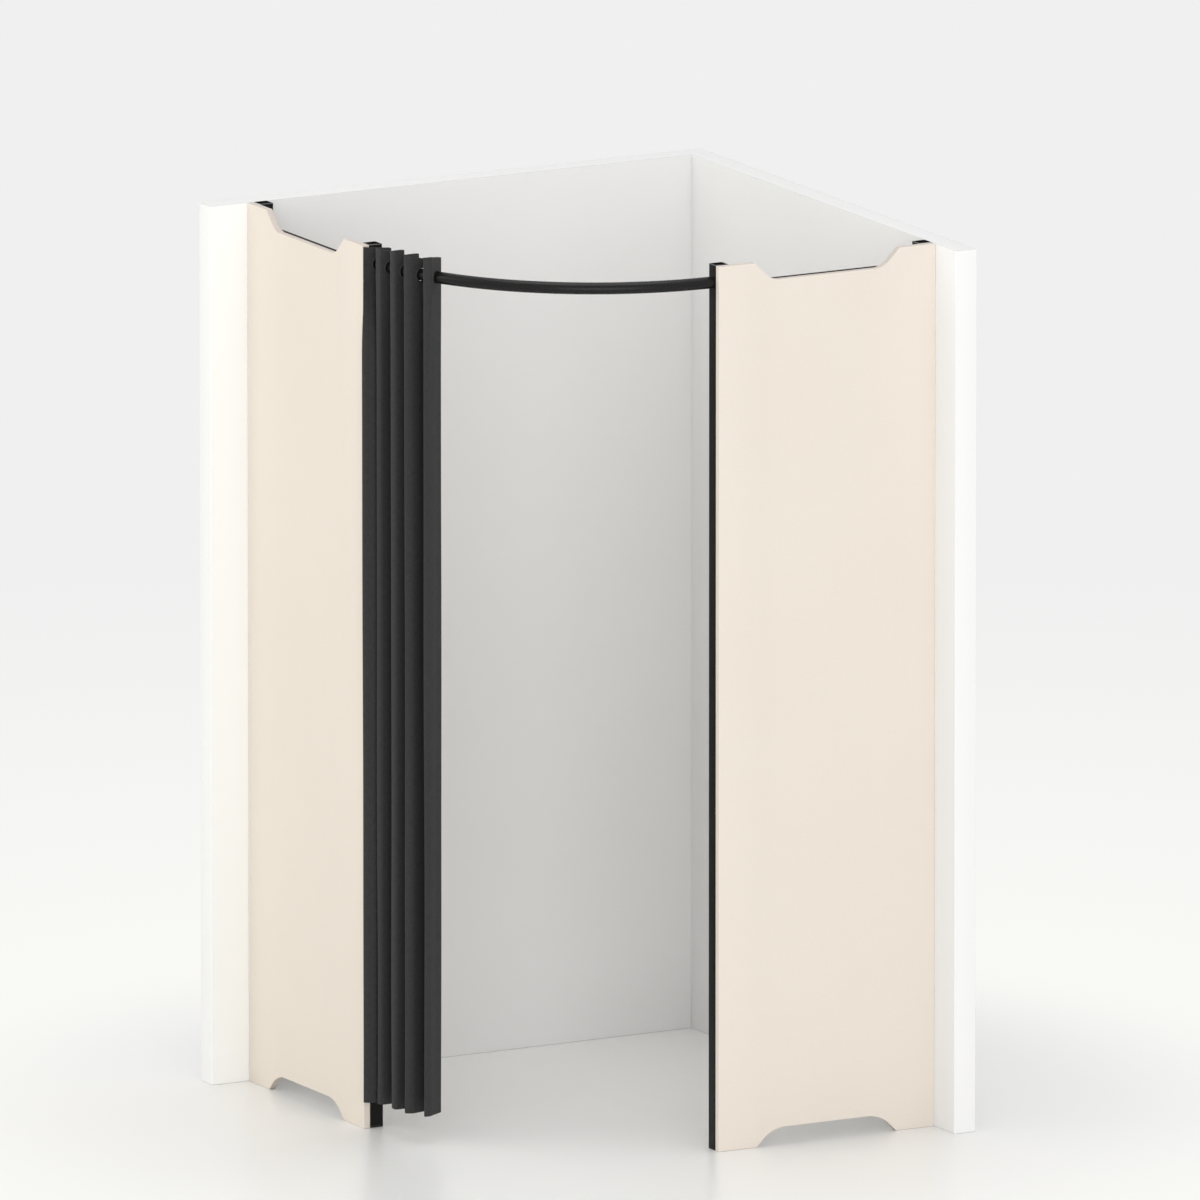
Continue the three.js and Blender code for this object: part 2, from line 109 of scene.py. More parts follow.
def editWith(item, kind, wanted):  # edit mode, with only what is wanted selected
    pick(item)
    bpy.ops.object.mode_set(mode="EDIT")
    bpy.ops.mesh.select_mode(type=kind)
    bpy.ops.mesh.select_all(action="DESELECT")
    shape = bmesh.from_edit_mesh(item.data)
    parts = {"VERT": shape.verts, "EDGE": shape.edges, "FACE": shape.faces}[kind]
    for part in parts:
        if wanted(part):
            part.select_set(True)
    shape.select_flush_mode()
    bmesh.update_edit_mesh(item.data)


def editDone():
    bpy.ops.object.mode_set(mode="OBJECT")


def runs(edge, axis):  # does the edge run along this axis?
    step = edge.verts[1].co - edge.verts[0].co
    return abs(step.normalized()[axis]) > 0.99


def middleOf(edge):
    return (edge.verts[0].co + edge.verts[1].co) / 2


def bevelEdges(item, wanted, offset, segments):
    editWith(item, "EDGE", wanted)
    bpy.ops.mesh.bevel(offset=offset, segments=segments, affect="EDGES")
    editDone()


def addModifier(item, kind, **settings):
    pick(item)
    modifier = item.modifiers.new(kind.title(), kind)
    for name, value in settings.items():
        setattr(modifier, name, value)
    bpy.ops.object.modifier_apply(modifier=modifier.name)


def softenEdges(item, width, segments=2, angle=40):
    addModifier(
        item,
        "BEVEL",
        width=width,
        segments=segments,
        limit_method="ANGLE",
        angle_limit=angle * degree,
        use_clamp_overlap=False,
    )


def smoothShade(item, angle=32):
    pick(item)
    bpy.ops.object.shade_smooth_by_angle(angle=angle * degree)


def cutOut(item, cutter):
    addModifier(item, "BOOLEAN", operation="DIFFERENCE", object=cutter, solver="EXACT")
    bpy.data.objects.remove(cutter)


def drill(item, start, direction, length, radius):
    cutOut(item, addRod("drill", start, direction, length, radius, 24))


def turnTo(item, seat, direction):
    item.location = seat
    item.rotation_euler = direction.to_track_quat("Z", "Y").to_euler()
    pick(item)
    bpy.ops.object.transform_apply(location=True, rotation=True, scale=True)
    return item


# a ring of points extruded and resized along a profile of (radius, height) pairs
def turnProfile(name, profile, sides, seat, direction):
    bpy.ops.object.select_all(action="DESELECT")
    radius, height = profile[0]
    bpy.ops.mesh.primitive_circle_add(
        vertices=sides, radius=radius * mm, location=(0, 0, height * mm)
    )
    item = settle(name)
    bpy.ops.object.mode_set(mode="EDIT")
    bpy.ops.mesh.select_mode(type="EDGE")
    bpy.ops.mesh.select_all(action="SELECT")
    for (radius, height), (nextRadius, nextHeight) in zip(profile, profile[1:]):
        rise = (0, 0, (nextHeight - height) * mm)
        grow = nextRadius / radius
        bpy.ops.mesh.extrude_edges_move(TRANSFORM_OT_translate={"value": rise})
        bpy.ops.transform.resize(value=(grow, grow, 1), center_override=(0, 0, 0))
    bpy.ops.mesh.select_all(action="SELECT")
    bpy.ops.mesh.remove_doubles(threshold=0.01 * mm)
    bpy.ops.mesh.fill_holes(sides=0)
    bpy.ops.mesh.select_all(action="SELECT")
    bpy.ops.mesh.normals_make_consistent(inside=False)
    editDone()
    return turnTo(item, seat, direction)


def copyTo(item, name, seat, direction):
    twin = item.copy()
    twin.data = item.data.copy()
    twin.name = name
    twin.data.name = name
    bpy.context.collection.objects.link(twin)
    return turnTo(twin, seat, direction)


def dress(item, finish, nodes, body="room"):
    item.data.materials.clear()
    item.data.materials.append(finish)
    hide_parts(*nodes)
    if body:
        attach(item, body)


# node tools


def addMath(nodes, links, kind, first, second=None):
    node = nodes.new("ShaderNodeMath")
    node.operation = kind
    for socket, source in zip(node.inputs, (first, second)):
        if isinstance(source, float):
            socket.default_value = source
        elif source is not None:
            links.new(source, socket)
    return node.outputs[0]


def mixShaders(nodes, links, share, first, second, output):
    mix = nodes.new("ShaderNodeMixShader")
    links.new(share, mix.inputs["Fac"])
    links.new(first.outputs[0], mix.inputs[1])
    links.new(second.outputs[0], mix.inputs[2])
    links.new(mix.outputs[0], output.inputs["Surface"])


def addNoise(nodes, links, scale, detail=3.0, stretch=(1, 1, 1), source="Object"):
    coordinates = nodes.new("ShaderNodeTexCoord")
    mapping = nodes.new("ShaderNodeMapping")
    mapping.inputs["Scale"].default_value = stretch
    noise = nodes.new("ShaderNodeTexNoise")
    noise.inputs["Scale"].default_value = scale
    noise.inputs["Detail"].default_value = detail
    links.new(coordinates.outputs[source], mapping.inputs["Vector"])
    links.new(mapping.outputs["Vector"], noise.inputs["Vector"])
    return noise.outputs["Fac"]


def addRamp(nodes, links, source, low, high, first, second):
    ramp = nodes.new("ShaderNodeValToRGB")
    ramp.color_ramp.elements[0].position = low
    ramp.color_ramp.elements[1].position = high
    ramp.color_ramp.elements[0].color = (*first, 1)
    ramp.color_ramp.elements[1].color = (*second, 1)
    links.new(source, ramp.inputs["Fac"])
    return ramp.outputs["Color"]


def addRange(nodes, links, source, low, high):
    spread = nodes.new("ShaderNodeMapRange")
    spread.inputs["From Min"].default_value = 0.3
    spread.inputs["From Max"].default_value = 0.7
    spread.inputs["To Min"].default_value = low
    spread.inputs["To Max"].default_value = high
    links.new(source, spread.inputs["Value"])
    return spread.outputs["Result"]


def addBump(nodes, links, shader, source, height, strength=1.0, under=None):
    bump = nodes.new("ShaderNodeBump")
    bump.inputs["Strength"].default_value = strength
    bump.inputs["Distance"].default_value = height
    links.new(source, bump.inputs["Height"])
    if under:
        links.new(under.outputs["Normal"], bump.inputs["Normal"])
    links.new(bump.outputs["Normal"], shader.inputs["Normal"])
    return bump


# camera and stage

view = {
    "target": (62.7 * mm, 52.1 * mm, 1192.7 * mm),
    "turn": 28.5,  # degrees round from the front
    "rise": 12.11,  # degrees above level
    "frame": 2.798,  # metres across the picture
    "lens": 1200,  # long, because the picture hardly narrows with distance
}


def addCamera():
    bpy.ops.object.select_all(action="DESELECT")
    turn = view["turn"] * degree
    rise = view["rise"] * degree
    ahead = Vector(
        (math.sin(turn) * math.cos(rise), math.cos(turn) * math.cos(rise), -math.sin(rise))
    )
    distance = view["lens"] / 36 * view["frame"]
    bpy.ops.object.camera_add(
        location=Vector(view["target"]) - ahead * distance,
        rotation=ahead.to_track_quat("-Z", "Y").to_euler(),
    )
    camera = bpy.context.object
    camera.name = "camera"
    camera.data.lens = view["lens"]
    camera.data.sensor_width = 36
    camera.data.clip_start = 1
    camera.data.clip_end = 400
    bpy.context.scene.camera = camera


addCamera()
print("camera placed")

light = {
    "dome": 0.79,  # even light from all round
    "backdrop": (0.871, 0.871, 0.871),  # what the camera and the gloss see behind the room
    "aim": (0, 0, 1.0),
}
lamps = {  # large soft discs: watts, place in metres, width and colour
    "key": (183, (-3.8, -8.1, 1.8), 6, (1, 1, 1)),
    "side": (86, (-7.7, 2.8, 4.8), 6, (1, 0.98, 0.8)),
    "over": (193, (-0.2, -0.2, 9.0), 6, (1, 1, 1)),
}


def addLamp(name, watts, spot, size, colour):
    bpy.ops.object.select_all(action="DESELECT")
    aim = Vector(light["aim"]) - Vector(spot)
    bpy.ops.object.light_add(
        type="AREA", location=spot, rotation=aim.to_track_quat("-Z", "Y").to_euler()
    )
    lamp = bpy.context.object
    lamp.name = name
    lamp.visible_camera = False
    lamp.data.shape = "DISK"
    lamp.data.size = size
    lamp.data.energy = watts
    lamp.data.color = colour


def addLight():
    world = bpy.data.worlds.new("studio")
    bpy.context.scene.world = world
    world.use_nodes = True
    nodes, links = world.node_tree.nodes, world.node_tree.links
    nodes.clear()
    output = nodes.new("ShaderNodeOutputWorld")
    dome = nodes.new("ShaderNodeBackground")
    dome.inputs["Color"].default_value = (1, 1, 1, 1)
    dome.inputs["Strength"].default_value = light["dome"]
    backdrop = nodes.new("ShaderNodeBackground")
    backdrop.inputs["Color"].default_value = (*light["backdrop"], 1)
    backdrop.inputs["Strength"].default_value = 1
    rays = nodes.new("ShaderNodeLightPath")
    seen = rays.outputs["Is Camera Ray"]
    for other in ("Is Glossy Ray", "Is Transmission Ray"):
        seen = addMath(nodes, links, "MAXIMUM", seen, rays.outputs[other])
    mixShaders(nodes, links, seen, dome, backdrop, output)
    for name, settings in lamps.items():
        addLamp(name, *settings)


addLight()
print("light set")

floor = {
    "reach": 30.0,
    "colour": (0.85, 0.85, 0.842),
    "blur": 0.3,
    "fadeFrom": 1.05,  # metres from the middle, where the floor turns into backdrop
    "fadeTo": 1.9,
    "near": (0.955, 0.955, 0.925),
    "nearTo": 1.6,
    "farFrom": 6.0,
}


def addFloor():
    bpy.ops.object.select_all(action="DESELECT")
    bpy.ops.mesh.primitive_plane_add(size=2 * floor["reach"], location=(0, 0, -0.2 * mm))
    item = settle("floor")
    material = bpy.data.materials.new("studio floor")
    material.use_nodes = True
    nodes, links = material.node_tree.nodes, material.node_tree.links
    output = nodes["Material Output"]
    ground = nodes["Principled BSDF"]
    ground.inputs["Base Color"].default_value = (*floor["colour"], 1)
    ground.inputs["Roughness"].default_value = floor["blur"]
    coordinates = nodes.new("ShaderNodeTexCoord")
    length = nodes.new("ShaderNodeVectorMath")
    length.operation = "LENGTH"
    links.new(coordinates.outputs["Object"], length.inputs[0])
    tenth = addMath(nodes, links, "MULTIPLY", length.outputs["Value"], 0.1)
    reach = (floor["nearTo"] / 10, floor["farFrom"] / 10)
    tone = addRamp(nodes, links, tenth, *reach, floor["near"], light["backdrop"])
    glow = nodes.new("ShaderNodeEmission")
    glow.inputs["Strength"].default_value = 1
    links.new(tone, glow.inputs["Color"])
    fade = nodes.new("ShaderNodeMapRange")
    fade.interpolation_type = "SMOOTHSTEP"
    fade.inputs["From Min"].default_value = floor["fadeFrom"]
    fade.inputs["From Max"].default_value = floor["fadeTo"]
    links.new(length.outputs["Value"], fade.inputs["Value"])
    rays = nodes.new("ShaderNodeLightPath")
    sources = (rays.outputs["Is Camera Ray"], fade.outputs["Result"])
    far = addMath(nodes, links, "MULTIPLY", *sources)
    mixShaders(nodes, links, far, ground, glow, output)
    item.data.materials.append(material)


addFloor()
bpy.context.scene.view_settings.view_transform = "Standard"
print("floor laid")


# finishes


def startFinish(name, roughness, metallic=0.0):
    material = bpy.data.materials.new(name)
    material.use_nodes = True
    shader = material.node_tree.nodes["Principled BSDF"]
    shader.inputs["Roughness"].default_value = roughness
    shader.inputs["Metallic"].default_value = metallic
    return material, material.node_tree.nodes, material.node_tree.links, shader


def grey(level):
    return (level, level, level)


def makeLaminate():
    material, nodes, links, shader = startFinish("cream laminate", 0.5)
    cloud = addNoise(nodes, links, 2.2, 4.0)
    tone = addRamp(nodes, links, cloud, 0.3, 0.7, (0.872, 0.790, 0.700), (0.890, 0.812, 0.722))
    grain = addNoise(nodes, links, 620, 2.0)
    fleck = addRamp(nodes, links, grain, 0.35, 0.7, grey(0.965), grey(1))
    blend = nodes.new("ShaderNodeMix")
    blend.data_type = "RGBA"
    blend.blend_type = "MULTIPLY"
    blend.inputs["Factor"].default_value = 1
    links.new(tone, blend.inputs["A"])
    links.new(fleck, blend.inputs["B"])
    links.new(blend.outputs["Result"], shader.inputs["Base Color"])
    links.new(addRange(nodes, links, grain, 0.42, 0.52), shader.inputs["Roughness"])
    addBump(nodes, links, shader, grain, 0.05 * mm, 0.6)
    return material


# a clouded colour, with a roughness and a bump that come from the same noise or a finer one
def mixFinish(name, colours, noise, rough, bump=None, fine=None, base=0.5, metal=0.0, gloss=None):
    material, nodes, links, shader = startFinish(name, base, metal)
    if gloss:
        shader.inputs["Specular IOR Level"].default_value = gloss
    cloud = addNoise(nodes, links, *noise)
    tone = addRamp(nodes, links, cloud, 0.3, 0.7, *colours)
    links.new(tone, shader.inputs["Base Color"])
    grain = addNoise(nodes, links, *fine) if fine else cloud
    links.new(addRange(nodes, links, grain, *rough), shader.inputs["Roughness"])
    if bump:
        addBump(nodes, links, shader, grain, *bump)
    return material


# painted light on the front faces of the strip that stands outside the board: brighter, and a
# little yellow like light bounced off the cream board
def addPaintedLightStrip(material, edge, colour):
    nodes, links = material.node_tree.nodes, material.node_tree.links
    base = nodes["Principled BSDF"].inputs["Base Color"]
    tone = base.links[0].from_socket
    coordinates = nodes.new("ShaderNodeTexCoord")
    split = nodes.new("ShaderNodeSeparateXYZ")
    facing = nodes.new("ShaderNodeSeparateXYZ")
    links.new(coordinates.outputs["Object"], split.inputs[0])
    links.new(coordinates.outputs["Normal"], facing.inputs[0])
    outside = addMath(nodes, links, "LESS_THAN", split.outputs["X"], edge)
    inner = addMath(nodes, links, "LESS_THAN", facing.outputs["Y"], -0.5)
    both = addMath(nodes, links, "MULTIPLY", outside, inner)
    coat = nodes.new("ShaderNodeMix")
    coat.data_type = "RGBA"
    coat.inputs["B"].default_value = (*colour, 1)
    links.new(both, coat.inputs["Factor"])
    links.new(tone, coat.inputs["A"])
    links.new(coat.outputs["Result"], base)


band = {"rough": (0.34, 0.46), "bump": (0.04 * mm, 0.5), "base": 0.42}
paint = {
    "noise": (1.6, 3.0),
    "fine": (420, 4.0),
    "rough": (0.55, 0.68),
    "bump": (0.12 * mm, 0.5),
    "base": 0.62,
}
powder = {
    "noise": (6, 3.0),
    "fine": (900, 3.0),
    "rough": (0.38, 0.52),
    "bump": (0.08 * mm, 0.5),
    "base": 0.45,
    "gloss": 0.12,
}
laminate = makeLaminate()
# the boards' edges are the laminate's cream darkened as painted shade: a little on the upright
# edges, much more on the top, the foot and the notch slopes
colours = ((0.820, 0.740, 0.655), (0.860, 0.780, 0.693))
shadedSideBand = mixFinish("cream edge band with painted shade", colours, (180, 3.0, (1, 1, 0.05)), **band)
colours = ((0.540, 0.480, 0.430), (0.580, 0.520, 0.468))
shadedTopBand = mixFinish("cream edge band with darker painted shade on top", colours, (180, 3.0, (0.05, 0.05, 1)), **band)
colours = ((0.892, 0.893, 0.890), (0.908, 0.909, 0.906))
wallPaint = mixFinish("white wall paint", colours, **paint)
# painted light on the rear wall's stub beside the left board
addPaintedLightStrip(wallPaint, boardBack, (0.97, 0.975, 0.955))
# the walls' free end faces are painted brighter, as painted light
colours = ((0.962, 0.962, 0.957), (0.976, 0.976, 0.971))
wallEndLight = mixFinish("white wall with painted light on its ends", colours, **paint)
# the walls' top faces are painted grey, as painted shade against the light from above
colours = ((0.718, 0.719, 0.718), (0.734, 0.735, 0.734))
wallTopShade = mixFinish("white wall with painted shade on top", colours, **paint)
powderCoat = mixFinish("black powder coat", (grey(0.0085), grey(0.0115)), **powder)
# a pale grey painted highlight for the posts' rounded top rims
rimHighlightCoat = mixFinish("powder coat with painted highlight on the rim", (grey(0.16), grey(0.24)), **powder)
railCoat = mixFinish(
    "satin black rail coat",
    (grey(0.005), grey(0.008)),
    noise=(9, 3.0),
    fine=(240, 4.0),
    rough=(0.22, 0.36),
    bump=(0.03 * mm, 0.4),
    base=0.28,
    gloss=0.25,
)
plastic = mixFinish(
    "black moulded plastic",
    (grey(0.004), grey(0.008)),
    noise=(1400, 2.0),
    rough=(0.48, 0.64),
    bump=(0.06 * mm, 0.6),
    base=0.55,
)
colours = ((0.050, 0.050, 0.054), (0.095, 0.094, 0.096))
blackSteel = mixFinish(
    "black oxide steel", colours, noise=(300, 4.0), rough=(0.28, 0.46), base=0.36, metal=1.0
)
eyeletMetal = mixFinish(
    "charcoal lacquered eyelet",
    ((0.026, 0.026, 0.027), (0.038, 0.038, 0.039)),
    noise=(150, 3.0),
    rough=(0.42, 0.58),
    bump=(0.02 * mm, 0.4),
    gloss=0.2,
)
print("finishes mixed")

# boards

board = {
    "topLand": 95 * mm,  # flat length left at each end of the top edge
    "topDepth": 44 * mm,
    "topRadius": 45 * mm,
    "footLand": 101 * mm,
    "footDepth": 42 * mm,
    "footRadius": 75 * mm,
    "edgeRound": 0.8 * mm,
    "screwHole": 2.8 * mm,
    "screwDepth": 11.3 * mm,
}
screwPlace = {"spacing": 300 * mm, "low": 62 * mm, "high": 2036 * mm}
boardMiddle = (doorEdge + boardEnd) / 2
boardWidth = boardEnd - doorEdge


# a wedge with 45 degree sides and rounded inner corners, taken out of a board's edge
def addNotchCutter(side, land, depth, radius, edge, inward):
    spare = 20 * mm
    flat = boardWidth / 2 - land - depth
    level = edge + inward * depth
    outside = edge - inward * spare
    low = place(side, boardMiddle - flat, boardFace - spare, min(level, outside))
    high = place(side, boardMiddle + flat, boardBack + spare, max(level, outside))
    cutter = addBlock("notch", low, high)
    grow = (flat + depth + spare) / flat
    centre = place(side, boardMiddle, boardFace, outside)
    editWith(cutter, "FACE", lambda face: face.normal.z * inward < -0.9)
    bpy.ops.transform.resize(value=place(side, grow, 1, 1), center_override=centre)
    editDone()
    across = 1 if side == "front" else 0
    bevelEdges(
        cutter,
        lambda edge: runs(edge, across) and abs(middleOf(edge).z - level) < mm,
        radius * math.tan(22.5 * degree),
        14,
    )
    return cutter


def addBoard(side):
    low = place(side, doorEdge, boardFace)
    high = place(side, boardEnd, boardBack, roomHeight)
    item = addBlock(side + "Board", low, high)
    top = (board["topLand"], board["topDepth"], board["topRadius"], roomHeight, -1)
    foot = (board["footLand"], board["footDepth"], board["footRadius"], 0, 1)
    cutOut(item, addNotchCutter(side, *top))
    cutOut(item, addNotchCutter(side, *foot))
    softenEdges(item, board["edgeRound"], 3, 30)
    for z in (screwPlace["low"], screwPlace["high"]):
        for way in (-1, 1):
            along = boardMiddle + way * screwPlace["spacing"] / 2
            start = place(side, along, boardBack + mm, z)
            length = board["screwDepth"] + mm
            drill(item, start, place(side, 0, -1), length, board["screwHole"])
    smoothShade(item, 30)
    dress(item, laminate, [side + "_board"])
    # edges that face up or down get the darker painted shade, the upright edges the lighter
    # painted shade
    item.data.materials.append(shadedSideBand)
    item.data.materials.append(shadedTopBand)
    face = place(side, 0, 1)
    for polygon in item.data.polygons:
        if abs(polygon.normal.dot(face)) < 0.95:
            polygon.material_index = 2 if abs(polygon.normal.z) > 0.3 else 1


for side in ("front", "left"):
    addBoard(side)
print("boards cut")

# posts, bars and their fasteners

post = {
    "size": 35 * mm,
    "corner": 3.5 * mm,
    "wall": 2.5 * mm,
    "foot": 5 * mm,
    "insert": 22 * mm,
    "capRecess": 4 * mm,
    "rimRound": 0.5 * mm,
    "bolt": 4.3 * mm,
    "boltLow": 300 * mm,
    "boltHigh": 1800 * mm,
}
cap = {
    "plate": 3 * mm,
    "rim": 2.2 * mm,
    "dish": 0.8 * mm,
    "wall": 2.5 * mm,
    "corner": 0.7 * mm,
    "round": 0.3 * mm,
}
bar = {
    "height": 40 * mm,
    "thickness": 6 * mm,
    "top": 2016 * mm,
    "foot": 42 * mm,
    "rise": 1.6 * mm,  # how far the top bars stand over the notches
    "edgeRound": 0.8 * mm,
}
half = post["size"] / 2
postRow = boardBack + gap + half  # how far in the posts' middle line is
doorPost = doorEdge + half
wallPost = boardEnd - half


def fromOutline(point, centre):  # how far outside a post's outline a point is
    reach = half - post["corner"]
    over = [max(abs(point[axis] - centre[axis]) - reach, 0) for axis in (0, 1)]
    return math.hypot(*over) - post["corner"]


def addPost(side, name, along):
    low = place(side, along - half, postRow - half, post["foot"] + gap)
    high = place(side, along + half, postRow + half, roomHeight)
    item = addBlock(f"{side}{name}Post", low, high)
    bevelEdges(item, lambda edge: runs(edge, 2), post["corner"], 8)
    editWith(item, "FACE", lambda face: abs(face.normal.z) > 0.9)
    bpy.ops.mesh.delete(type="FACE")
    editDone()
    addModifier(item, "SOLIDIFY", thickness=post["wall"], offset=-1, use_even_offset=True)
    centre = place(side, along, postRow)
    bevelEdges(
        item,
        lambda edge: not runs(edge, 2) and fromOutline(middleOf(edge), centre) > -gap,
        post["rimRound"],
        3,
    )
    if name == "Wall":
        for z in (post["boltLow"], post["boltHigh"]):
            start = place(side, along - half - mm, postRow, z)
            drill(item, start, place(side, 1, 0), post["size"] + 2 * mm, post["bolt"])
    else:
        start = place(side, along - half - mm, postRow, railHeight)
        drill(item, start, place(side, 1, 0), post["size"] + 2 * mm, post["bolt"])
    smoothShade(item)
    dress(item, powderCoat, [f"{side}_{name.lower()}_post"])
    # the rounded top rim of each post gets the painted highlight
    item.data.materials.append(rimHighlightCoat)
    for polygon in item.data.polygons:
        if polygon.center.z > roomHeight - post["rimRound"] * 0.9:
            polygon.material_index = 1


def atCorner(edge, centre, reach):  # an upright edge at the corner of a square
    spot = middleOf(edge) - centre
    near = max(abs(abs(spot.x) - reach), abs(abs(spot.y) - reach)) < 0.01 * mm
    return near and runs(edge, 2)


def addCap(side, name, along):
    inner = half - post["wall"] - gap
    top = roomHeight - post["capRecess"]
    low = place(side, along - inner, postRow - inner, top - post["insert"] - cap["plate"])
    high = place(side, along + inner, postRow + inner, top)
    item = addBlock(f"{side}{name}PostCap", low, high)
    editWith(item, "FACE", lambda face: face.normal.z > 0.9)
    bpy.ops.mesh.inset(thickness=cap["rim"])
    bpy.ops.transform.translate(value=(0, 0, -cap["dish"]))
    editDone()
    editWith(item, "FACE", lambda face: face.normal.z < -0.9)
    bpy.ops.mesh.inset(thickness=cap["wall"])
    bpy.ops.mesh.extrude_region_move(TRANSFORM_OT_translate={"value": (0, 0, post["insert"])})
    editDone()
    centre = place(side, along, postRow)
    bevelEdges(item, lambda edge: atCorner(edge, centre, inner), cap["corner"], 4)
    softenEdges(item, cap["round"], 2, 50)
    smoothShade(item)
    dress(item, plastic, [f"{side}_{name.lower()}_post_cap"])


def addFoot(side, name, along):
    low = place(side, along - half, postRow - half)
    high = place(side, along + half, postRow + half, post["foot"])
    item = addBlock(f"{side}{name}PostFoot", low, high)
    editWith(item, "FACE", lambda face: face.normal.z > 0.9)
    bpy.ops.mesh.inset(thickness=post["wall"] + gap)
    bpy.ops.mesh.extrude_region_move(TRANSFORM_OT_translate={"value": (0, 0, post["insert"])})
    bpy.ops.mesh.inset(thickness=cap["wall"])
    bpy.ops.mesh.extrude_region_move(TRANSFORM_OT_translate={"value": (0, 0, -post["insert"])})
    editDone()
    centre = place(side, along, postRow)
    inner = half - post["wall"] - gap
    bevelEdges(item, lambda edge: atCorner(edge, centre, inner), cap["corner"], 4)
    bevelEdges(item, lambda edge: atCorner(edge, centre, half), post["corner"], 8)
    softenEdges(item, cap["round"], 2, 50)
    smoothShade(item)
    dress(item, plastic, [f"{side}_{name.lower()}_post_foot"])


def addBar(side, name, bottom, height):
    reach = boardWidth / 2 - post["size"] - gap
    face = boardBack + gap
    low = place(side, boardMiddle - reach, face, bottom)
    high = place(side, boardMiddle + reach, face + bar["thickness"], bottom + height)
    item = addBlock(f"{side}{name}Bar", low, high)
    softenEdges(item, bar["edgeRound"], 3, 50)
    for way in (-1, 1):
        along = boardMiddle + way * screwPlace["spacing"] / 2
        start = place(side, along, face - mm, bottom + bar["height"] / 2)
        drill(item, start, place(side, 0, 1), bar["thickness"] + 2 * mm, board["screwHole"])
    smoothShade(item)
    dress(item, powderCoat, [f"{side}_{name.lower()}_bar"])


for side in ("front", "left"):
    for name, along in (("Wall", wallPost), ("Door", doorPost)):
        addPost(side, name, along)
        addCap(side, name, along)
        addFoot(side, name, along)
    addBar(side, "Top", bar["top"], bar["height"] + bar["rise"])
    addBar(side, "Bottom", bar["foot"], bar["height"])
print("posts and bars standing")

wall = {  # here because the bolts need it too
    "edge": 1.5 * mm,
    "bolt": 5.3 * mm,
    "counterbore": 10.5 * mm,
    "recess": 7.8 * mm,
    "boltHeights": (0.2, 1.05, 1.9),
    "boltHole": 49 * mm,  # how deep the side wall is drilled
    "postHole": 39 * mm,
}
boltHead = [(7, 0.3), (7, 1.6), (6.75, 2.5), (6.1, 3.4), (5.1, 4.1), (4.0, 4.6), (3.4, 4.8)]
wallHead = [(9, 0.3), (9, 4.9), (8.8, 5.6), (8.2, 6.1), (7.4, 6.3), (6.0, 6.3)]
screwHead = [(5, 0.3), (5, 1.1), (4.7, 1.8), (4.0, 2.4), (3.1, 2.7), (2.4, 2.8)]
fasteners = {  # mm; the shank and the socket are radii
    "frameBolt": {"head": boltHead, "shank": 4, "length": 73.3, "socket": 2.9, "depth": 2.6},
    "railBolt": {"head": boltHead, "shank": 4, "length": 49, "socket": 2.9, "depth": 2.6},
    "wallBolt": {"head": wallHead, "shank": 5, "length": 96.2, "socket": 4.6, "depth": 3.6},
    "screw": {"head": screwHead, "shank": 2.5, "length": 17.3, "socket": 1.75, "depth": 1.5},
}


# the thread's pitch and radii as shares of the shank's radius, and how much of it is cut
thread = {"pitch": 0.3, "tip": 0.55, "lead": 0.8, "root": 0.86, "neck": 0.97, "cut": 0.45}


# a turned head on a threaded shank, with a six-sided socket; it stands along +Z
def addFastener(name, head, shank, length, socket, depth):
    pitch = shank * thread["pitch"]
    line = [(shank * thread["tip"], -length), (shank * thread["lead"], -length + pitch)]
    turns = int((length * thread["cut"]) / pitch)
    for turn in range(turns):
        height = -length + pitch * (turn + 1)
        line += [(shank * thread["root"], height), (shank, height + pitch / 2)]
    neck = shank * thread["neck"]
    line += [(neck, -length + pitch * (turns + 2)), (neck, head[0][1])]
    item = turnProfile(name, line + head, 24, Vector((0, 0, 0)), up)
    top = head[-1][1]
    start = Vector((0, 0, (top + 1) * mm))
    cutter = addRod("socket", start, -up, (depth + 1) * mm, socket * mm, 6)
    cutOut(item, cutter)
    smoothShade(item)
    return item


def fastenAll():
    frameBolt = addFastener("frameBolt", **fasteners["frameBolt"])
    railBolt = addFastener("railBolt", **fasteners["railBolt"])
    wallBolt = addFastener("wallBolt", **fasteners["wallBolt"])
    screw = addFastener("screw", **fasteners["screw"])
    for side in ("front", "left"):
        for number, z in enumerate((post["boltLow"], post["boltHigh"]), 1):
            seat = place(side, wallPost - half, postRow, z)
            item = copyTo(frameBolt, f"{side}WallBolt{number}", seat, place(side, -1, 0))
            dress(item, blackSteel, [f"{side}_wall_bolt_{number}"])
        seat = place(side, doorPost + half, postRow, railHeight)
        item = copyTo(railBolt, f"{side}RailBolt", seat, place(side, 1, 0))
        dress(item, blackSteel, [f"{side}_rail_bolt"])
        number = 0
        for z in (screwPlace["low"], screwPlace["high"]):
            for way in (-1, 1):
                number += 1
                along = boardMiddle + way * screwPlace["spacing"] / 2
                seat = place(side, along, boardBack + gap + bar["thickness"], z)
                item = copyTo(screw, f"{side}BoardScrew{number}", seat, place(side, 0, 1))
                dress(item, blackSteel, [f"{side}_board_screw_{number}"])
    for number, z in enumerate(wall["boltHeights"], 1):
        seat = Vector(((wallFace + wallBack) / 2, wallBack - wall["recess"], z))
        item = copyTo(wallBolt, f"wallBolt{number}", seat, Vector((0, 1, 0)))
        dress(item, blackSteel, [f"wall_bolt_{number}"])
    for item in (frameBolt, railBolt, wallBolt, screw):
        bpy.data.objects.remove(item)


fastenAll()
print("bolts and screws in")

# walls


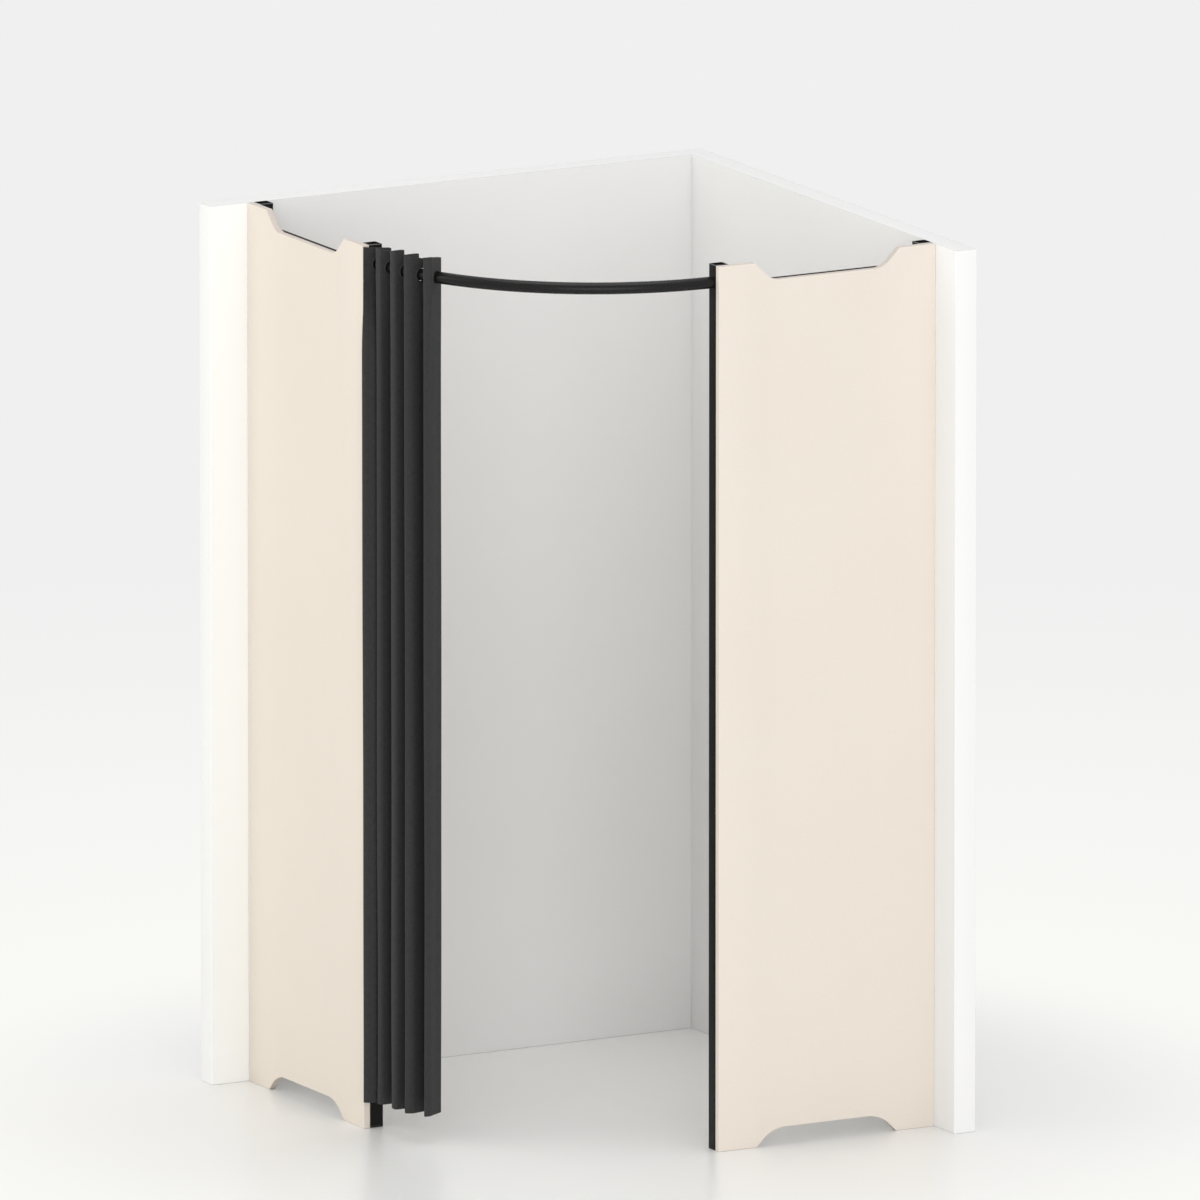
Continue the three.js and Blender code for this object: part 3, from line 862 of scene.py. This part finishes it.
def addWalls():
    reach = wallBack
    rear = addBlock(
        "rearWall", Vector((-reach, wallFace, 0)), Vector((reach, wallBack, roomHeight))
    )
    side = addBlock(
        "sideWall", Vector((wallFace, -reach, 0)), Vector((wallBack, wallFace - gap, roomHeight))
    )
    back = Vector((0, 1, 0))
    boltX = (wallFace + wallBack) / 2
    for item in (rear, side):
        softenEdges(item, wall["edge"], 3, 50)
    for z in wall["boltHeights"]:
        outside = Vector((boltX, wallBack + mm, z))
        inside = Vector((boltX, wallFace + mm, z))
        drill(rear, outside, -back, wall["recess"] + mm, wall["counterbore"])
        drill(rear, outside, -back, wallThickness + 2 * mm, wall["bolt"])
        drill(side, inside, -back, wall["boltHole"] + mm, wall["bolt"])
    depth = wall["postHole"] + mm
    for z in (post["boltLow"], post["boltHigh"]):
        drill(rear, Vector((postRow, wallFace - mm, z)), back, depth, post["bolt"])
        drill(side, Vector((wallFace - mm, postRow, z)), Vector((1, 0, 0)), depth, post["bolt"])
    for item, node, end in ((rear, "rear_wall", 0), (side, "side_wall", 1)):
        smoothShade(item)
        dress(item, wallPaint, [node])
        item.data.materials.append(wallEndLight)
        item.data.materials.append(wallTopShade)
        for polygon in item.data.polygons:
            # the free end faces get the painted light
            if polygon.center[end] < -reach + wall["edge"] * 1.1:
                polygon.material_index = 1
            # the top faces get the painted shade
            if polygon.center.z > roomHeight - wall["edge"] * 1.1:
                polygon.material_index = 2


addWalls()
print("walls up")

# rail

rail = {"radius": 14 * mm, "wall": 1.5 * mm, "sides": 48, "steps": 120}


def addRail():
    bpy.ops.object.select_all(action="DESELECT")
    inset = gap / railRadius
    start = Vector((doorEdge - railRadius, doorEdge - gap, railHeight))
    bpy.ops.mesh.primitive_circle_add(
        vertices=rail["sides"],
        radius=rail["radius"],
        location=start,
        rotation=(90 * degree, 0, inset),
    )
    item = settle("curtainRail")
    bpy.ops.object.mode_set(mode="EDIT")
    bpy.ops.mesh.select_all(action="SELECT")
    bpy.ops.mesh.spin(
        steps=rail["steps"],
        angle=90 * degree - 2 * inset,
        center=(doorEdge, doorEdge, railHeight),
        axis=(0, 0, -1),
    )
    bpy.ops.mesh.select_all(action="SELECT")
    bpy.ops.mesh.remove_doubles(threshold=0.001 * mm)
    bpy.ops.mesh.normals_make_consistent(inside=False)
    editDone()
    addModifier(item, "SOLIDIFY", thickness=rail["wall"], offset=-1)
    smoothShade(item, 40)
    dress(item, railCoat, ["curtain_rail"])


addRail()
for side in ("front", "left"):
    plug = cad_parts[side + "_rail_plug"]
    plug.data.materials.clear()
    plug.data.materials.append(plastic)
print("rail bent")

# curtain

curtain = {
    "slant": 12 * degree,
    "innerDepth": 25.2,  # mm that the folds stand in from the rail
    "outerLeans": [0, 0.8, 0.75, 0.38, 0.72],
    "innerLeans": [0.33, 0.39, 0.38, 0.4, 0],
    "flat": 22.3 * mm,  # half of what the eyelet holds flat
    "bottom": 68 * mm,
    "freeEnd": 27.5,  # mm that the inner end stands in from the rail
    "top": 2103 * mm,
    "tilt": 0.12,  # the top edge drops towards the room
    # and by this much at these places along the cloth, both in mm
    "drops": [(0, 8), (40, 7.4), (70, 6.2), (100, 5.2), (137, 2.6), (175, 6), (205, 1.6)]
    + [(235, 3), (273, 0.6), (311, 6), (342, 1.8), (372, 3), (415, 0.8), (459, 6.3)]
    + [(475, 4.6), (490, 3.2), (521, 3), (561, -1.6), (601, -2.2), (628, 0.2)],
    "eyeletHeight": railHeight + 0.1 * mm,
    "hole": 16.5 * mm,
    "thickness": 1.3 * mm,
    "hemThickness": 2.1 * mm,
    "hem": 36 * mm,
    "header": 84 * mm,
    "sideHem": 12 * mm,
    "step": 2.0 * mm,
    "ripple": 0.5 * mm,
    "sway": 1.2 * mm,
    "slack": 3 * mm,
    "loosens": (1.84, 2.02),  # hangs free below these heights and is held above them
    "sways": (0.1, 1.9),
    "seam": 1.2 * mm,  # how far a sewn line lies from the hem's edge
    "seamReach": 1.3 * mm,  # how far it pulls the cloth in on each side
    "seamDepth": 0.5 * mm,
    "foldReach": 0.2 * mm,
    "sideStep": 1.6 * mm,
    "edgeReach": 0.8 * mm,  # the outer edges thin out over this, to a share
    "edgeShare": 0.55,
    "tiltReach": 24 * mm,  # the top edge rises and falls within this
    "holeReach": 3 * mm,
    "lean": 1.1,
    "fineShare": 0.6,
    "quickShare": 0.5,
    "edgeRows": (0, 0.8, 3, 12, 24),  # mm from the bottom edge
    "seamRows": (-2.4, -1.2, 0, 1.0, 2.2),  # mm from a seam, towards the open cloth
    "topRows": (5, 10, 15),  # mm over what the eyelets take up
    "eyeletReach": 25 * mm,
}
# the folds at the eyelets, and how they hang below them
folds = {
    "held": {
        "places": [15, 36, 69, 92, 124, 148, 178, 203, 221],  # mm round the rail
        "slants": [-0.5, 1, -1, 1, -1, 1, -1, 1, 1.25],  # shares of the slant
        "outerDepths": [39.6, 27, 28.8, 37.8, 34.56],  # mm that they stand out of the rail
        "round": 0.5,
        "free": [(39.6, 0)],  # the outer end, mm out and across from the first eyelet
    },
    "hanging": {
        "places": [24, 36, 62, 92, 124, 148, 172, 203, 216],
        "slants": [-0.5, 1, 0, 1, -1, 1, -0.2, 1, 0.6],
        "outerDepths": [39.6, 27, 28.8, 37.8, 34.56],
        "round": 0.36,
        "free": [(46.5, 2), (49, 0), (49.5, -3), (42.5, -6), (35.5, -9)]
        + [(26.5, -13), (18, -14.5), (8, -10)],
    },
}
eyelets = folds["held"]


def eyeletAngle(number, hang=eyelets):
    return hang["places"][number] * mm / railRadius


def slantOf(number, hang=eyelets):
    return eyeletAngle(number, hang) + curtain["slant"] * hang["slants"][number]


def heading(angle):  # straight out from the rail's centre, in plan
    return Vector((-math.cos(angle), -math.sin(angle)))


def onPlan(angle, radius):
    return Vector((doorEdge, doorEdge)) + heading(angle) * radius


# one side of a fold, from where the flat part ends to the crest
def foldSide(hang, number, way, crest, crestAngle):
    eyelet = onPlan(eyeletAngle(number, hang), railRadius)
    out = heading(slantOf(number, hang)) * way
    start = eyelet + out * curtain["flat"]
    turn = 1 if crestAngle > eyeletAngle(number, hang) else -1
    across = Vector((math.sin(crestAngle), -math.cos(crestAngle))) * turn
    reach = crest - start
    leave = start + out * abs(reach.dot(out)) * hang["round"]
    arrive = crest - across * abs(reach.dot(across)) * hang["round"]
    bend = interpolate_bezier(start.to_3d(), leave.to_3d(), arrive.to_3d(), crest.to_3d(), 24)
    return [point.to_2d() for point in bend]


# the cloth's line seen from above, cut at the eyelets: ten stretches of points
def curtainLine(hang):
    count = len(hang["places"])
    first = onPlan(eyeletAngle(0, hang), railRadius)
    out = heading(slantOf(0, hang))
    across = Vector((-out.y, out.x))
    free = [first + out * away * mm - across * aside * mm for away, aside in hang["free"]]
    stretches = [[*free, first]]
    for number in range(count - 1):
        inside = number % 2 == 0
        way = -1 if inside else 1
        if inside:
            depth = -curtain["innerDepth"]
            lean = curtain["innerLeans"][number // 2]
        else:
            depth = hang["outerDepths"][(number + 1) // 2]
            lean = curtain["outerLeans"][(number + 1) // 2]
        before, after = eyeletAngle(number, hang), eyeletAngle(number + 1, hang)
        crestAngle = before + (after - before) * lean
        crest = onPlan(crestAngle, railRadius + depth * mm)
        there = foldSide(hang, number, way, crest, crestAngle)
        back = foldSide(hang, number + 1, way, crest, crestAngle)
        ends = [onPlan(before, railRadius), onPlan(after, railRadius)]
        stretches.append([ends[0], *there, *reversed(back[:-1]), ends[1]])
    last = onPlan(eyeletAngle(count - 1, hang), railRadius)
    free = heading(slantOf(count - 1, hang)) * -curtain["freeEnd"] * mm
    stretches.append([last, last + free])
    return stretches


def evenly(points, count):  # the same line in this many equal steps
    lengths = [(b - a).length for a, b in zip(points, points[1:])]
    total = sum(lengths)
    found, along, index = [points[0]], 0.0, 0
    for number in range(1, count):
        target = total * number / count
        while along + lengths[index] < target:
            along += lengths[index]
            index += 1
        share = (target - along) / lengths[index]
        found.append(points[index].lerp(points[index + 1], share))
    return found + [points[-1]]


def lengthOf(points):
    return sum((b - a).length for a, b in zip(points, points[1:]))


def blur(points, passes):  # rounds the line and leaves its ends
    for _ in range(passes):
        points = [
            points[0],
            *[(a + b * 2 + c) / 4 for a, b, c in zip(points, points[1:], points[2:])],
            points[-1],
        ]
    return points


def easeBetween(value, low, high):
    share = min(max((value - low) / (high - low), 0.0), 1.0)
    return share * share * (3 - 2 * share)


def spread(low, high, steps):
    return [low + (high - low) * i / steps for i in range(steps + 1)]


def dropAt(along):  # between the places that are given
    for (before, high), (after, low) in zip(curtain["drops"], curtain["drops"][1:]):
        if along < after * mm:
            share = (along - before * mm) / ((after - before) * mm)
            return (high + (low - high) * share) * mm
    return curtain["drops"][-1][1] * mm


def clothHeights():  # rows from the bottom edge to the top edge, closer where something is sewn
    bottom, top = curtain["bottom"], curtain["top"]
    rows = [bottom + row * mm for row in curtain["edgeRows"]]
    seam = bottom + curtain["hem"]
    rows += [seam + row * mm for row in curtain["seamRows"]] + [seam + 10 * mm]
    headSeam = top - curtain["header"]
    rows += spread(seam + 24 * mm, headSeam - 14 * mm, 96)
    rows += [headSeam - row * mm for row in reversed(curtain["seamRows"])] + [headSeam + 7 * mm]
    low, high = [curtain["eyeletHeight"] + way * curtain["eyeletReach"] for way in (-1, 1)]
    rows += spread(low, high, 25)
    rows += [high + row * mm for row in curtain["topRows"]]
    return rows + [top - 4 * mm, top - 0.8 * mm, top]


# how thick the cloth is: turned up at the bottom, folded over at the top and hemmed at both ends
def clothThickness(along, length, z):
    lowSeam = curtain["bottom"] + curtain["hem"]
    highSeam = curtain["top"] - curtain["header"]
    sewn = curtain["seam"]
    low = 1 - easeBetween(z, lowSeam - curtain["foldReach"], lowSeam + sewn)
    high = easeBetween(z, highSeam - sewn, highSeam + curtain["foldReach"])
    edge = min(along, length - along)
    side = 1 - easeBetween(edge, curtain["sideHem"], curtain["sideHem"] + curtain["sideStep"])
    seams = 0.0
    for seam in (lowSeam - sewn, highSeam + sewn):
        seams = max(seams, 1 - abs(z - seam) / curtain["seamReach"])
    full = max(low, high, side)
    thick = curtain["thickness"]
    thick += (curtain["hemThickness"] - thick) * full - curtain["seamDepth"] * seams
    ends = min(z - curtain["bottom"], curtain["top"] - z)
    least = curtain["edgeShare"]
    return thick * (least + (1 - least) * easeBetween(ends, 0, curtain["edgeReach"]))


# radians for each metre along the cloth and up it, and where each wave starts
waves = {
    "broad": (92, 0, 0.6),
    "drift": (0, 2.3, 0),
    "fine": (167, -1.7, 2.1),
    "slow": (11, 3.1, 0),
    "quick": (-19, 6.7, 1.3),
}


def waveAt(name, along, z, shift=0.0):
    sideways, upwards, start = waves[name]
    return math.sin(along * sideways + z * upwards + start + shift)


def makeCurtain():
    held = curtainLine(folds["held"])
    hanging = curtainLine(folds["hanging"])
    counts = [max(4, round(lengthOf(stretch) / curtain["step"])) for stretch in held]
    marks, line, low = [0], [held[0][0]], [hanging[0][0]]
    for stretch, below, count in zip(held, hanging, counts):
        line += evenly(stretch, count)[1:]
        low += evenly(below, count)[1:]
        marks.append(len(line) - 1)
    soft = blur(low, 8)
    alongs = [0.0]
    for before, after in zip(line, line[1:]):
        alongs.append(alongs[-1] + (after - before).length)
    length = alongs[-1]
    centre = Vector((doorEdge, doorEdge))
    rows = clothHeights()
    grid = []
    for z in rows:
        loose = 1 - easeBetween(z, *curtain["loosens"])
        swing = 1 - easeBetween(z, *curtain["sways"])
        row = [a.lerp(b, loose) for a, b in zip(line, soft)]
        row = [row[0], *row, row[-1]]
        points = []
        for index in range(1, len(row) - 1):
            tangent = (row[index + 1] - row[index - 1]).normalized()
            normal = Vector((-tangent.y, tangent.x))
            along = alongs[index - 1]
            lean = curtain["lean"] * waveAt("drift", along, z)
            wave = waveAt("broad", along, z, lean)
            wave += curtain["fineShare"] * waveAt("fine", along, z)
            sway = waveAt("slow", along, z) + curtain["quickShare"] * waveAt("quick", along, z)
            shift = curtain["ripple"] * wave * loose + curtain["sway"] * sway * swing * loose
            points.append((row[index] + normal * shift, normal, along))
        grid.append(points)
    return grid, rows, marks, length, centre


def addCloth(name, grid, rows, start, end, length, centre, held):
    shape = bmesh.new()
    uvLayer = shape.loops.layers.uv.new("cloth")
    high = curtain["top"] - curtain["tiltReach"]
    holes = [grid[0][mark][2] for mark in held]

    def nearest(along, z):
        hole = min(holes, key=lambda spot: abs(spot - along))
        return Vector((along - hole, z - curtain["eyeletHeight"]))

    kept = {}
    for r in range(len(rows) - 1):
        for c in range(start, end):
            along = (grid[r][c][2] + grid[r][c + 1][2]) / 2
            z = (rows[r] + rows[r + 1]) / 2
            if nearest(along, z).length > curtain["hole"]:
                kept[r, c] = True
    corners = {}
    for r, c in kept:
        for spot in ((r, c), (r, c + 1), (r + 1, c + 1), (r + 1, c)):
            corners.setdefault(spot, 0)
            corners[spot] += 1
    front, back, uvs = {}, {}, {}
    for (r, c), count in corners.items():
        point, normal, along = grid[r][c]
        z = rows[r]
        offset = nearest(along, z)
        inner = 0 < r < len(rows) - 1 and (count < 4 if start < c < end else count < 2)
        if inner and offset.length < curtain["hole"] + curtain["holeReach"]:
            moved = offset.normalized() * curtain["hole"]
            if c in (start, end):
                moved.x = 0
                moved = moved.normalized() * curtain["hole"]
            tangent = Vector((normal.y, -normal.x))
            point = point + tangent * (moved.x - offset.x)
            z += moved.y - offset.y
        if z > high:
            tilt = ((point - centre).length - railRadius) * curtain["tilt"]
            tilt -= dropAt(along)
            z += tilt * (z - high) / (curtain["top"] - high)
        thick = clothThickness(along, length, rows[r])
        front[r, c] = shape.verts.new((*(point + normal * thick / 2), z))
        back[r, c] = shape.verts.new((*(point - normal * thick / 2), z))
        uvs[front[r, c]] = uvs[back[r, c]] = (along, rows[r])
    edges = {}
    for r, c in kept:
        spots = [(r, c), (r, c + 1), (r + 1, c + 1), (r + 1, c)]
        shape.faces.new([front[spot] for spot in spots])
        shape.faces.new([back[spot] for spot in reversed(spots)])
        for a, b in zip(spots, spots[1:] + spots[:1]):
            if (b, a) in edges:
                del edges[b, a]
            else:
                edges[a, b] = True
    for a, b in edges:
        shape.faces.new([front[b], front[a], back[a], back[b]])
    for face in shape.faces:
        for loop in face.loops:
            loop[uvLayer].uv = uvs[loop.vert]
    bmesh.ops.recalc_face_normals(shape, faces=shape.faces)
    mesh = bpy.data.meshes.new(name)
    shape.to_mesh(mesh)
    shape.free()
    item = bpy.data.objects.new(name, mesh)
    bpy.context.collection.objects.link(item)
    smoothShade(item, 50)
    return item


def makeCloth():
    material, nodes, links, shader = startFinish("charcoal curtain cloth", 0.88)
    coordinates = nodes.new("ShaderNodeTexCoord")
    split = nodes.new("ShaderNodeSeparateXYZ")
    links.new(coordinates.outputs["UV"], split.inputs[0])

    def wave(source, pitch):
        return addMath(
            nodes, links, "SINE", addMath(nodes, links, "MULTIPLY", source, 2 * math.pi / pitch)
        )

    warp = wave(split.outputs["X"], 1.1 * mm)
    weft = wave(split.outputs["Y"], 1.3 * mm)
    weave = addMath(nodes, links, "MULTIPLY", warp, weft)
    slub = addNoise(nodes, links, 60, 3.0, (9, 1, 1), "UV")
    cross = addNoise(nodes, links, 60, 3.0, (1, 9, 1), "UV")
    yarn = addMath(nodes, links, "MULTIPLY", addMath(nodes, links, "ADD", slub, cross), 0.5)
    tone = addRamp(nodes, links, yarn, 0.35, 0.65, (0.034, 0.034, 0.0345), (0.050, 0.050, 0.051))
    links.new(tone, shader.inputs["Base Color"])
    shader.inputs["Sheen Weight"].default_value = 0.06
    shader.inputs["Sheen Roughness"].default_value = 0.5
    shader.inputs["Specular IOR Level"].default_value = 0.15
    links.new(addRange(nodes, links, yarn, 0.82, 0.95), shader.inputs["Roughness"])
    first = addBump(nodes, links, shader, weave, 0.08 * mm, 0.6)
    addBump(nodes, links, shader, yarn, 0.15 * mm, 0.5, first)
    return material


ring = [
    (14.9, -1.4),
    (15.1, -2.0),
    (15.5, -2.5),
    (16.2, -2.8),
    (17.0, -2.7),
    (17.8, -2.3),
    (18.4, -1.7),
    (18.6, -1.4),
    (18.4, -1.12),
    (16.2, -1.12),
    (16.2, 1.12),
    (18.4, 1.12),
    (18.6, 1.4),
    (18.4, 1.7),
    (17.8, 2.3),
    (17.0, 2.7),
    (16.2, 2.8),
    (15.5, 2.5),
    (15.1, 2.0),
    (14.9, 1.4),
    (14.9, -1.4),
]


# how far from its eyelet the cloth moves with it as one, on the side of the next or the last
def heldWidth(number, way, step):
    flat = curtain["flat"] * abs(heading(slantOf(number)).dot(step))
    hangs = (folds["hanging"]["places"][number] - eyelets["places"][number]) * way * mm
    return max(flat, hangs + curtain["slack"])


def bodyOf(number):  # the first sheet is tied to the post, and the others slide
    return "room" if number == 0 else f"curtain_fold_{number + 1}"


def addCurtain():
    cloth = makeCloth()
    count = len(eyelets["places"])
    pattern = turnProfile("eyelet", ring, 64, Vector((0, 0, 0)), up)
    for number in range(count):
        seat = onPlan(eyeletAngle(number), railRadius).to_3d()
        seat.z = curtain["eyeletHeight"]
        out = heading(slantOf(number))
        item = copyTo(pattern, f"eyelet{number + 1}", seat, Vector((-out.y, out.x, 0)))
        smoothShade(item, 50)
        node = f"curtain_eyelet_{number + 1}"
        dress(item, eyeletMetal, [node], bodyOf(number))
    bpy.data.objects.remove(pattern)

    grid, rows, marks, length, centre = makeCurtain()
    for number in range(count + 1):
        start, end = marks[number], marks[number + 1]
        held = [mark for mark in (start, end) if mark not in (0, marks[-1])]
        item = addCloth(
            f"curtainCloth{number + 1}", grid, rows, start, end, length, centre, held
        )
        item.data.materials.append(cloth)
        nodes = [f"curtain_sheet_{number + 1}"] if number < count else []
        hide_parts(*nodes)
        if number == 0:
            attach(item, "room")
        elif number == count:
            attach(item, bodyOf(count - 1))
        else:
            before = onPlan(eyeletAngle(number - 1), railRadius)
            after = onPlan(eyeletAngle(number), railRadius)
            step = (after - before).normalized()
            first = (before + step * heldWidth(number - 1, 1, step)).to_3d()
            last = (after - step * heldWidth(number, -1, step)).to_3d()
            first.z = last.z = railHeight
            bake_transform(item)


addCurtain()
print("curtain hung")
